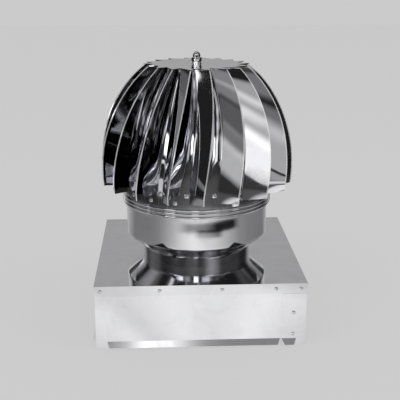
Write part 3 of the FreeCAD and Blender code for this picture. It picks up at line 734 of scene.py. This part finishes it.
def side_places(sides, along, heights):
    """Rivets on some sides of the base, at places along each side and heights above the ground."""
    places = []
    for side in range(sides):
        turn = Matrix.Rotation(math.radians(360 / sides * side), 3, "Z")
        places += [(turn @ Vector((place, -HALF, height)), turn @ Vector((0, -1, 0)))
                   for place in along for height in heights]
    return places


def round_places(count, start, radius, height):
    """Rivets round the axis from a start angle."""
    angles = [start + 360 / count * k for k in range(count)]
    return [(radial(angle, radius, height), radial(angle, 1, 0)) for angle in angles]


def make_rivets():
    room = math.degrees((LARGE_RIVET[0] + WALL) / crease_radius(UPPER_ROW))
    offset = free_edge_turn(UPPER_ROW) - crease_turn(UPPER_ROW) - room
    face = main_radius(UPPER_ROW, room / PITCH) + SEAT_GAP
    flange = side_places(4, FLANGE_PLACES, (FLANGE_ROW,))
    seam = side_places(2, (SEAM_PLACE,), SEAM_HEIGHTS)
    bracket = round_places(ARMS, 0, COLLAR_RADIUS, BRACKET_ROW)
    lower = round_places(BLADE_COUNT, BLADE_START, RING_RADIUS, LOWER_ROW)
    upper = round_places(BLADE_COUNT, BLADE_START + offset, face, UPPER_ROW)
    groups = (
        ("flange_rivet_heads", "base", "plate_rivets", flange, SMALL_RIVET, 2 * WALL),
        ("seam_rivet_heads", "base", "seam_rivets", seam, SMALL_RIVET, 2 * WALL),
        ("bracket_rivet_heads", "base", "bracket_rivets", bracket, LARGE_RIVET,
         WALL + BRACKET_WALL + ARM_GAP),
        ("ring_rivet_heads", "rotor", "ring_rivets_lower", lower, LARGE_RIVET, 2 * WALL + SEAT_GAP),
        ("blade_rivet_heads", "rotor", "ring_rivets_upper", upper, LARGE_RIVET,
         face - RING_RADIUS + WALL + SEAT_GAP))
    for name, body, node, places, (head, dome, tail), grip in groups:
        points, faces = [], []
        add_heads(points, faces, places, head, dome)
        add_tails(points, faces, places, grip, tail)
        mesh_object(name, body, node, (points, faces), RIVET_STEEL, RIVET_ANGLE)


# Nut and washers

WASHER_WALL = 1.2
SPRING_WALL = 1.5
NUT_FOOT = DISC_TOP + WASHER_WALL + SPRING_WALL
NUT_FLATS = 13.0
NUT_HEXAGON = 6.5
NUT_DOME = 5.5
NUT_TOTAL = 15.3
NUT_STEM = NUT_TOTAL - NUT_DOME
NUT_STEPS = 96
NUT_ANGLE = 28.0
STEM_ROWS = 3
BALL_ROWS = 16

# heights above the nut's foot, and the radius at which the chamfers cut the hexagon off
HEXAGON_ROWS = ((0.0, 6.6), (0.5, 7.2), (0.9, 8.0), (NUT_HEXAGON - 1.6, 8.0), (NUT_HEXAGON - 0.9, 7.3),
                (NUT_HEXAGON - 0.2, 6.55), (NUT_HEXAGON, 6.3))
STEM_GROOVE = ((NUT_HEXAGON + 0.02, 5.75), (NUT_HEXAGON + 0.25, NUT_DOME))
STEM_FOOT = NUT_HEXAGON + 0.3
LEAST_RADIUS = 0.02


def hexagon_radius(angle, limit):
    """Radius of the nut's hexagon at an angle, cut round at a limit."""
    turn = (angle % (math.pi / 3)) - math.pi / 6
    return min(NUT_FLATS / 2 / math.cos(turn), limit)


def make_nut():
    """Domed cap nut: chamfered hexagon, short stem and a polished ball end."""
    angles = [2 * math.pi * k / NUT_STEPS for k in range(NUT_STEPS)]
    rows = [(height, [hexagon_radius(angle, limit) for angle in angles]) for height, limit in HEXAGON_ROWS]
    smooth = list(STEM_GROOVE)
    smooth += [(STEM_FOOT + (NUT_STEM - STEM_FOOT) * k / STEM_ROWS, NUT_DOME) for k in range(STEM_ROWS + 1)]
    for k in range(1, BALL_ROWS + 1):
        lean = math.radians(90 * k / BALL_ROWS)
        smooth.append((NUT_STEM + NUT_DOME * math.sin(lean), max(LEAST_RADIUS, NUT_DOME * math.cos(lean))))
    rows += [(height, [radius] * NUT_STEPS) for height, radius in smooth]
    points = [Vector((radius * math.cos(angle), radius * math.sin(angle), NUT_FOOT + height)) * MM
              for height, radii in rows for radius, angle in zip(radii, angles)]
    faces = loft_faces(len(rows), NUT_STEPS)
    for row in (0, len(rows) - 1):
        faces.append(tuple(row * NUT_STEPS + k for k in range(NUT_STEPS)))
    mesh_object("domed_nut", "rotor", "acorn_nut", (points, faces), NUT_STEEL, NUT_ANGLE)


def washer_profile(bore, radius, edge, low, high):
    """Half section of a washer with its outer edges broken."""
    return [(bore, low), (radius - edge, low), (radius, low + edge), (radius, high - edge),
            (radius - edge, high), (bore, high)]


# bore, outer radius and width of the broken edges
FLAT_WASHER = (4.05, 8.0, 0.2)
FLAT_STEPS = 64
SPLIT_WASHER = (4.1, 7.0, 0.15)
SPLIT_START = 20
SPLIT_TURN = 354
SPLIT_STEPS = 60


def make_washers():
    seat = DISC_TOP + WASHER_WALL
    flat = washer_profile(*FLAT_WASHER, DISC_TOP, seat)
    mesh_object("flat_washer", "rotor", "top_washer", lathe(flat, FLAT_STEPS), NUT_STEEL)
    spring = washer_profile(*SPLIT_WASHER, seat, seat + SPRING_WALL)
    points = []
    for step in range(SPLIT_STEPS + 1):
        points += around(math.radians(SPLIT_START + SPLIT_TURN * step / SPLIT_STEPS), spring)
    faces = loft_faces(SPLIT_STEPS + 1, len(spring))
    for step in (0, SPLIT_STEPS):
        faces.append(tuple(step * len(spring) + k for k in range(len(spring))))
    mesh_object("split_washer", "rotor", "spring_washer", (points, faces), NUT_STEEL)


# Carried-over solids: softened edges and real materials

BEARING_NODES = tuple(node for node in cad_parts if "_bearing_" in node)

# material, width and steps of the softened edges, and the nodes
DRESSED = (
    (PLATE_STEEL, 0.8, 3, ("top_plate",)),
    (SKIRT_STEEL, 0.35, 2, ("skirt_front_left", "skirt_back_right")),
    (DISC_STEEL, 0.2, 2, ("top_disc",)),
    (RING_STEEL, 0.0, 2, ("ring_stiffener",)),
    (BRACKET_STEEL, 0.4, 2, ("cross_bracket", "bearing_housing", "hub")),
    (BOLT_STEEL, 0.3, 2, ("housing_bolts", "housing_nuts")),
    (SHAFT_STEEL, 0.2, 2, ("rotor_shaft", "bearing_spacer", "shaft_circlip", "housing_circlip")),
    (BEARING_STEEL, 0.0, 2, BEARING_NODES))
SHARP_EDGE = 40


def dress(node, material, edge, segments):
    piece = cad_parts[node]
    for slot in piece.material_slots:
        slot.material = material
    if edge:
        bevel = piece.modifiers.new("softened", "BEVEL")
        bevel.width = edge * MM
        bevel.segments = segments
        bevel.limit_method = "ANGLE"
        bevel.angle_limit = math.radians(SHARP_EDGE)
        bevel.harden_normals = True


def dress_solids():
    for material, edge, segments, nodes in DRESSED:
        for node in nodes:
            dress(node, material, edge, segments)


# Floor, light and camera, in metres

BACKGROUND = 0.597
BACKGROUND_SHARE = 0.88
FLOOR_COLOUR = (0.82, 0.82, 0.82, 1.0)
FLOOR_REACH = 6.0
DARKEST = 0.01

# what polished metal sees round it: soft panels as azimuth, half width, elevation and half height,
# all in degrees, and level
ROOM_LEVEL = 0.015
ROOM_PANELS = [
    (180, 34, 14, 17, 0.38),
    (19, 9, 5, 9, 1.05),
    (26, 9, 18, 7, 0.45),
    (56, 14, 4, 9, 0.42),
    (44, 12, 40, 11, 0.40),
    (36, 11, 26, 8, 0.38),
    (66, 9, 14, 6, 0.16),
    (0, 32, 60, 12, 0.24),
    (-1, 4, 63, 5, 1.20),
    (92, 14, 32, 9, 0.18),
    (-26, 7, 5, 6, 0.50),
    (-22, 7, 14, 5, 0.18),
    (-13, 10, 26, 8, 0.10),
    (-2, 11, 44, 8, 0.22),
    (4, 6, 1, 7, 0.25),
    (-100, 12, 16, 14, 0.16),
    (-98, 10, 40, 9, 0.10),
    (-80, 3, 50, 18, 1.30),
    (-80, 3, 2, 8, 1.30),
    (-42, 3, 50, 18, 1.30),
    (-43, 8, 7, 6, 3.00),
    (-4, 5, 9, 6, 3.00),
    (180, 60, 54, 17, 0.42),
    (148, 13, 20, 22, 0.28),
    (-150, 12, 22, 22, 0.28),
    (-118, 9, 42, 22, 0.28),
    (128, 9, 50, 18, 0.28),
    (-152, 7, 4, 8, 0.60),
    (0, 300, 86, 10, 0.36)]

# the white sheet on the floor: its level by azimuth, and how it fades with distance
SHEET_LEVELS = [
    (-180, 0.75), (-150, 0.50), (-130, 0.36), (-112, 0.20), (-75, 0.22), (-60, 0.26), (-47, 0.39),
    (-35, 0.54), (-23, 0.74), (-8, 0.95), (8, 0.88), (22, 0.72), (35, 0.56), (48, 0.42), (62, 0.28),
    (80, 0.23), (122, 0.20), (150, 0.50), (180, 0.75)]
SHEET_FADES = [(0.10, 0.1), (0.13, 1.0), (0.66, 1.0), (0.73, 0.12), (1.5, 0.05)]
SHEET_REACH = 2.0

# shapes on the floor: azimuth and half width in degrees, distance, half depth and level
FLOOR_PANELS = [
    (16, 38, 0.595, 0.032, -0.65),
    (16, 18, 0.55, 0.022, -0.45),
    (54, 6, 1.6, 0.6, 0.70),
    (50, 12, 3.8, 1.2, 0.35),
    (-54, 14, 4.4, 1.2, 0.80),
    (56, 5, 0.74, 0.05, 0.80),
    (-50, 12, 0.93, 0.10, 0.60),
    (38, 24, 0.25, 0.13, 0.24),
    (-44, 18, 0.25, 0.13, 0.32),
    (95, 34, 0.26, 0.11, 0.42),
    (-95, 34, 0.26, 0.11, 0.42)]
SOFT_OUTSIDE = 1.35
SOFT_INSIDE = 0.65


def soft_span(net, offset, half):
    """One inside the half width, zero outside it, with a soft edge between."""
    span = net.add("ShaderNodeMapRange", interpolation_type="SMOOTHSTEP")
    span.inputs["From Min"].default_value = SOFT_OUTSIDE * half
    span.inputs["From Max"].default_value = SOFT_INSIDE * half
    net.link(net.math("ABSOLUTE", offset), span.inputs["Value"])
    return span.outputs[0]


def soft_panels(net, azimuth, reach, panels, base):
    """Sum of soft panels over a base level; reach is the measure of the panels' second pair."""
    level = base
    for angle, half_angle, place, half_place, strength in panels:
        turn = net.math("WRAP", net.math("SUBTRACT", azimuth, float(angle)), 180.0, -180.0)
        share = net.math("MULTIPLY", soft_span(net, turn, half_angle),
                         soft_span(net, net.math("SUBTRACT", reach, float(place)), half_place))
        level = net.math("MULTIPLY_ADD", share, strength, level)
    return level


def azimuth_degrees(net, parts):
    """Azimuth of a place or direction, from the front towards +X."""
    backwards = net.math("MULTIPLY", parts.outputs["Y"], -1.0)
    return net.math("DEGREES", net.math("ARCTAN2", parts.outputs["X"], backwards))


def floor_level(net, place):
    """What polished metal sees on the floor: the white sheet, and soft shapes over and beyond it."""
    parts = net.add("ShaderNodeSeparateXYZ")
    net.link(place, parts.inputs[0])
    length = net.add("ShaderNodeVectorMath", operation="LENGTH")
    net.link(place, length.inputs[0])
    distance = length.outputs["Value"]
    azimuth = azimuth_degrees(net, parts)
    round_sheet = net.ramp(net.math("MULTIPLY_ADD", azimuth, 1 / 360, 0.5),
                           [((angle + 180) / 360, level) for angle, level in SHEET_LEVELS])
    fading = net.ramp(net.math("MULTIPLY", distance, 1 / SHEET_REACH, clamp=True),
                      [(reach / SHEET_REACH, share) for reach, share in SHEET_FADES])
    sheet = net.math("MULTIPLY", round_sheet, fading)
    return net.math("MAXIMUM", soft_panels(net, azimuth, distance, FLOOR_PANELS, sheet), DARKEST)


def make_floor():
    """A pale floor: the camera sees the background's grey, and polished metal sees the white sheet."""
    material = bpy.data.materials.new("pale_floor")
    material.use_nodes = True
    net = Nodes(material.node_tree)
    place = net.add("ShaderNodeTexCoord").outputs["Object"]
    matt = net.add("ShaderNodeBsdfDiffuse", Color=FLOOR_COLOUR)
    glow = net.add("ShaderNodeEmission")
    net.link(floor_level(net, place), glow.inputs["Strength"])
    plain = net.add("ShaderNodeEmission", Strength=BACKGROUND)
    path = net.add("ShaderNodeLightPath")
    to_camera = net.math("MULTIPLY", path.outputs["Is Camera Ray"], BACKGROUND_SHARE)
    shown = net.switch(to_camera, matt.outputs[0], plain.outputs[0])
    output = net.add("ShaderNodeOutputMaterial")
    net.link(net.switch(path.outputs["Is Glossy Ray"], shown, glow.outputs[0]), output.inputs["Surface"])
    mesh = bpy.data.meshes.new("floor")
    corners = [(x * FLOOR_REACH, y * FLOOR_REACH, 0) for x, y in ((-1, -1), (1, -1), (1, 1), (-1, 1))]
    mesh.from_pydata(corners, [], [(0, 1, 2, 3)])
    floor = bpy.data.objects.new("floor", mesh)
    bpy.context.scene.collection.objects.link(floor)
    mesh.materials.append(material)


def make_world():
    """The room: plain grey for the camera, soft panels round a dark room for polished metal."""
    world = bpy.data.worlds.new("studio")
    bpy.context.scene.world = world
    world.use_nodes = True
    net = Nodes(world.node_tree)
    parts = net.add("ShaderNodeSeparateXYZ")
    net.link(net.add("ShaderNodeTexCoord").outputs["Generated"], parts.inputs[0])
    elevation = net.math("DEGREES", net.math("ARCSINE", parts.outputs["Z"]))
    seen = soft_panels(net, azimuth_degrees(net, parts), elevation, ROOM_PANELS, ROOM_LEVEL)
    glossy = net.add("ShaderNodeBackground", Color=(1.0, 1.0, 1.0, 1.0))
    net.link(seen, glossy.inputs["Strength"])
    plain = net.add("ShaderNodeBackground", Color=(BACKGROUND, BACKGROUND, BACKGROUND, 1.0), Strength=1.0)
    path = net.add("ShaderNodeLightPath")
    output = net.add("ShaderNodeOutputWorld")
    net.link(net.switch(path.outputs["Is Glossy Ray"], plain.outputs[0], glossy.outputs[0]),
             output.inputs["Surface"])


# name, place and power in watts
LAMPS = (("key", (-1.4, -1.2, 2.2), 18.0), ("fill", (1.8, -0.6, 1.8), 10.0))
LAMP_SIZE = 1.6
LAMP_AIM = Vector((0, 0, 0.15))


def make_lamps():
    for name, place, power in LAMPS:
        data = bpy.data.lights.new(name, "AREA")
        data.shape = "SQUARE"
        data.size = LAMP_SIZE
        data.energy = power
        lamp = bpy.data.objects.new(name, data)
        lamp.location = place
        lamp.rotation_euler = (LAMP_AIM - Vector(place)).to_track_quat("-Z", "Y").to_euler()
        lamp.visible_glossy = False
        bpy.context.scene.collection.objects.link(lamp)


CAMERA_PLACE = (-0.05338, -1.15944, 0.52385)
CAMERA_YAW = math.radians(2.903)
CAMERA_PITCH = math.radians(16.781)
CAMERA_ROLL = math.radians(-0.094)
LENS = 70.43


def make_camera():
    """A camera where the photograph was taken from: turned right, tilted down and rolled a little."""
    level = math.cos(CAMERA_PITCH)
    forward = Vector((math.sin(CAMERA_YAW) * level, math.cos(CAMERA_YAW) * level, -math.sin(CAMERA_PITCH)))
    flat_right = Vector((math.cos(CAMERA_YAW), -math.sin(CAMERA_YAW), 0))
    flat_down = forward.cross(flat_right)
    right = math.cos(CAMERA_ROLL) * flat_right + math.sin(CAMERA_ROLL) * flat_down
    down = -math.sin(CAMERA_ROLL) * flat_right + math.cos(CAMERA_ROLL) * flat_down
    data = bpy.data.cameras.new("camera")
    data.sensor_width = 36.0
    data.lens = LENS
    data.clip_start = 0.05
    data.clip_end = 50.0
    camera = bpy.data.objects.new("camera", data)
    bpy.context.scene.collection.objects.link(camera)
    turn = Matrix((right, -down, -forward)).transposed().to_4x4()
    camera.matrix_world = Matrix.Translation(CAMERA_PLACE) @ turn
    bpy.context.scene.camera = camera


make_blades()
make_ring()
make_collar()
make_neck()
make_rivets()
make_nut()
make_washers()
dress_solids()
make_floor()
make_world()
make_lamps()
make_camera()
bpy.context.scene.view_settings.view_transform = "Standard"
